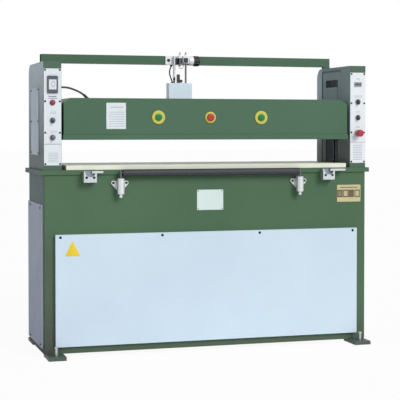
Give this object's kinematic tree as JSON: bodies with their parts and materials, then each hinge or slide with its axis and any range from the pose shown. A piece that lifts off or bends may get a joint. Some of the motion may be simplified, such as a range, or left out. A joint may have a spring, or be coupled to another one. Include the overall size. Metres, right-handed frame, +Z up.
{
  "type": "block cutting press",
  "caption": "Hydraulic plane cutting press: a wide pressing beam slides in two slotted columns above a cutting pad on a box base.",
  "frame": {"origin": "on the floor, under the middle of the press", "axes": "+X to the operator's right along the beam, +Y to the back, +Z up"},
  "size_m": [1.88, 0.69, 1.654],
  "materials": {
    "frame_paint": "satin green paint",
    "cover_paint": "smooth pale blue-white paint",
    "side_paint": "smooth grey-white paint",
    "panel_paint": "smooth white paint",
    "pad_plastic": "matt cream plastic board",
    "dark_steel": "blackened steel",
    "bright_steel": "bright steel",
    "rod_chrome": "hard chrome",
    "alloy": "cast and machined light alloy",
    "grey_iron": "machined grey iron",
    "black_plastic": "black moulded plastic",
    "grey_plastic": "grey moulded plastic",
    "red_plastic": "glossy red plastic",
    "green_plastic": "glossy green plastic",
    "yellow_plastic": "glossy yellow plastic",
    "screen": "pale display face",
    "roller_rubber": "dark grey rubber cover",
    "cable_pvc": "black flexible sheath"
  },
  "bodies": {
    "frame": {"foot_plates": "frame_paint", "corner_posts": "frame_paint", "base_sills": "frame_paint", "floor_pan": "frame_paint", "base_aprons": "frame_paint", "table_plate": "frame_paint", "left_column": "frame_paint", "right_column": "frame_paint", "cross_bar": "frame_paint", "oil_tank": "frame_paint", "front_cover": "cover_paint", "rear_cover": "cover_paint", "side_covers": "side_paint", "column_side_plates": "side_paint", "left_control_panel": "panel_paint", "right_control_panel": "panel_paint", "setting_bracket": "panel_paint", "cutting_pad": "pad_plastic", "cover_screws": "dark_steel", "bracket_bolts": "dark_steel", "levelling_bolts": "bright_steel", "trip_pin": "bright_steel", "press_cylinders": "bright_steel", "guide_brackets": "alloy", "lift_cylinders": "alloy", "shaft_bearings": "grey_iron", "pump_motor": "grey_iron", "timer_bezel": "black_plastic", "counter_window": "black_plastic", "bracket_switches": "black_plastic", "frame_glands": "black_plastic", "stop_collar": "grey_plastic", "power_lamp": "red_plastic", "timer_screen": "screen", "conduit": "cable_pvc", "switch_cable": "cable_pvc"},
    "beam": {"beam_shell": "frame_paint", "press_plate": "frame_paint", "left_slider": "frame_paint", "right_slider": "frame_paint", "button_rings": "yellow_plastic", "setting_box": "cover_paint", "box_switch": "black_plastic", "box_stud": "bright_steel", "piston_rods": "rod_chrome", "sync_racks": "bright_steel", "beam_glands": "black_plastic"},
    "sync_shaft": {"sync_shaft": "bright_steel"},
    "left_button": {"left_button": "green_plastic"},
    "right_button": {"right_button": "green_plastic"},
    "stop_button": {"stop_button": "red_plastic"},
    "stop_mushroom": {"stop_mushroom": "red_plastic"},
    "left_upper_knob": {"left_upper_knob": "black_plastic"},
    "left_lower_knob": {"left_lower_knob": "grey_plastic"},
    "right_upper_knob": {"right_upper_knob": "black_plastic"},
    "right_lower_knob": {"right_lower_knob": "black_plastic"},
    "lock_knob": {"lock_knob": "black_plastic"},
    "setting_rod": {"setting_rod": "bright_steel"},
    "roller_lift": {"lift_rods": "dark_steel"},
    "roller": {"roller": "roller_rubber"}
  },
  "joints": [
    {"name": "beam_slide", "type": "slide", "parent": "frame", "child": "beam", "axis": [0, 0, 1], "range_m": [-0.13, 0.035], "deforming": ["conduit", "switch_cable"]},
    {"name": "sync_turn", "type": "hinge", "parent": "frame", "child": "sync_shaft", "pos_m": [0, 0.116, 0.887], "axis": [-1, 0, 0], "range_deg": [-235, 65]},
    {"name": "left_button_press", "type": "slide", "parent": "beam", "child": "left_button", "axis": [0, 1, 0], "range_m": [0, 0.005], "stiffness_N_per_m": 500, "springref_m": -0.002},
    {"name": "right_button_press", "type": "slide", "parent": "beam", "child": "right_button", "axis": [0, 1, 0], "range_m": [0, 0.005], "stiffness_N_per_m": 500, "springref_m": -0.002},
    {"name": "stop_button_press", "type": "slide", "parent": "beam", "child": "stop_button", "axis": [0, 1, 0], "range_m": [0, 0.005], "stiffness_N_per_m": 500, "springref_m": -0.002},
    {"name": "stop_mushroom_press", "type": "slide", "parent": "frame", "child": "stop_mushroom", "axis": [0, 1, 0], "range_m": [0, 0.006], "stiffness_N_per_m": 500, "springref_m": -0.002},
    {"name": "left_upper_knob_turn", "type": "hinge", "parent": "frame", "child": "left_upper_knob", "pos_m": [-0.872, -0.249, 1.257], "axis": [0, 1, 0], "range_deg": [-45, 45]},
    {"name": "left_lower_knob_turn", "type": "hinge", "parent": "frame", "child": "left_lower_knob", "pos_m": [-0.872, -0.249, 1.167], "axis": [0, 1, 0], "range_deg": [-135, 135]},
    {"name": "right_upper_knob_turn", "type": "hinge", "parent": "frame", "child": "right_upper_knob", "pos_m": [0.872, -0.249, 1.365], "axis": [0, 1, 0], "range_deg": [-45, 45]},
    {"name": "right_lower_knob_turn", "type": "hinge", "parent": "frame", "child": "right_lower_knob", "pos_m": [0.872, -0.249, 1.276], "axis": [0, 1, 0], "range_deg": [-45, 45]},
    {"name": "lock_knob_turn", "type": "hinge", "parent": "frame", "child": "lock_knob", "pos_m": [-0.041, 0.105, 1.6], "axis": [1, 0, 0], "range_deg": [-180, 90]},
    {"name": "setting_rod_slide", "type": "slide", "parent": "frame", "child": "setting_rod", "axis": [0, 0, 1], "range_m": [-0.02, 0.02]},
    {"name": "roller_raise", "type": "slide", "parent": "frame", "child": "roller_lift", "axis": [0, 0, 1], "range_m": [0, 0.028]},
    {"name": "roller_spin", "type": "hinge", "parent": "roller_lift", "child": "roller", "pos_m": [0, -0.277, 0.978], "axis": [1, 0, 0], "continuous": true}
  ],
  "couplings": [
    {"joint": "sync_turn", "follows": "beam_slide", "rad_per_m": 31.25}
  ]
}
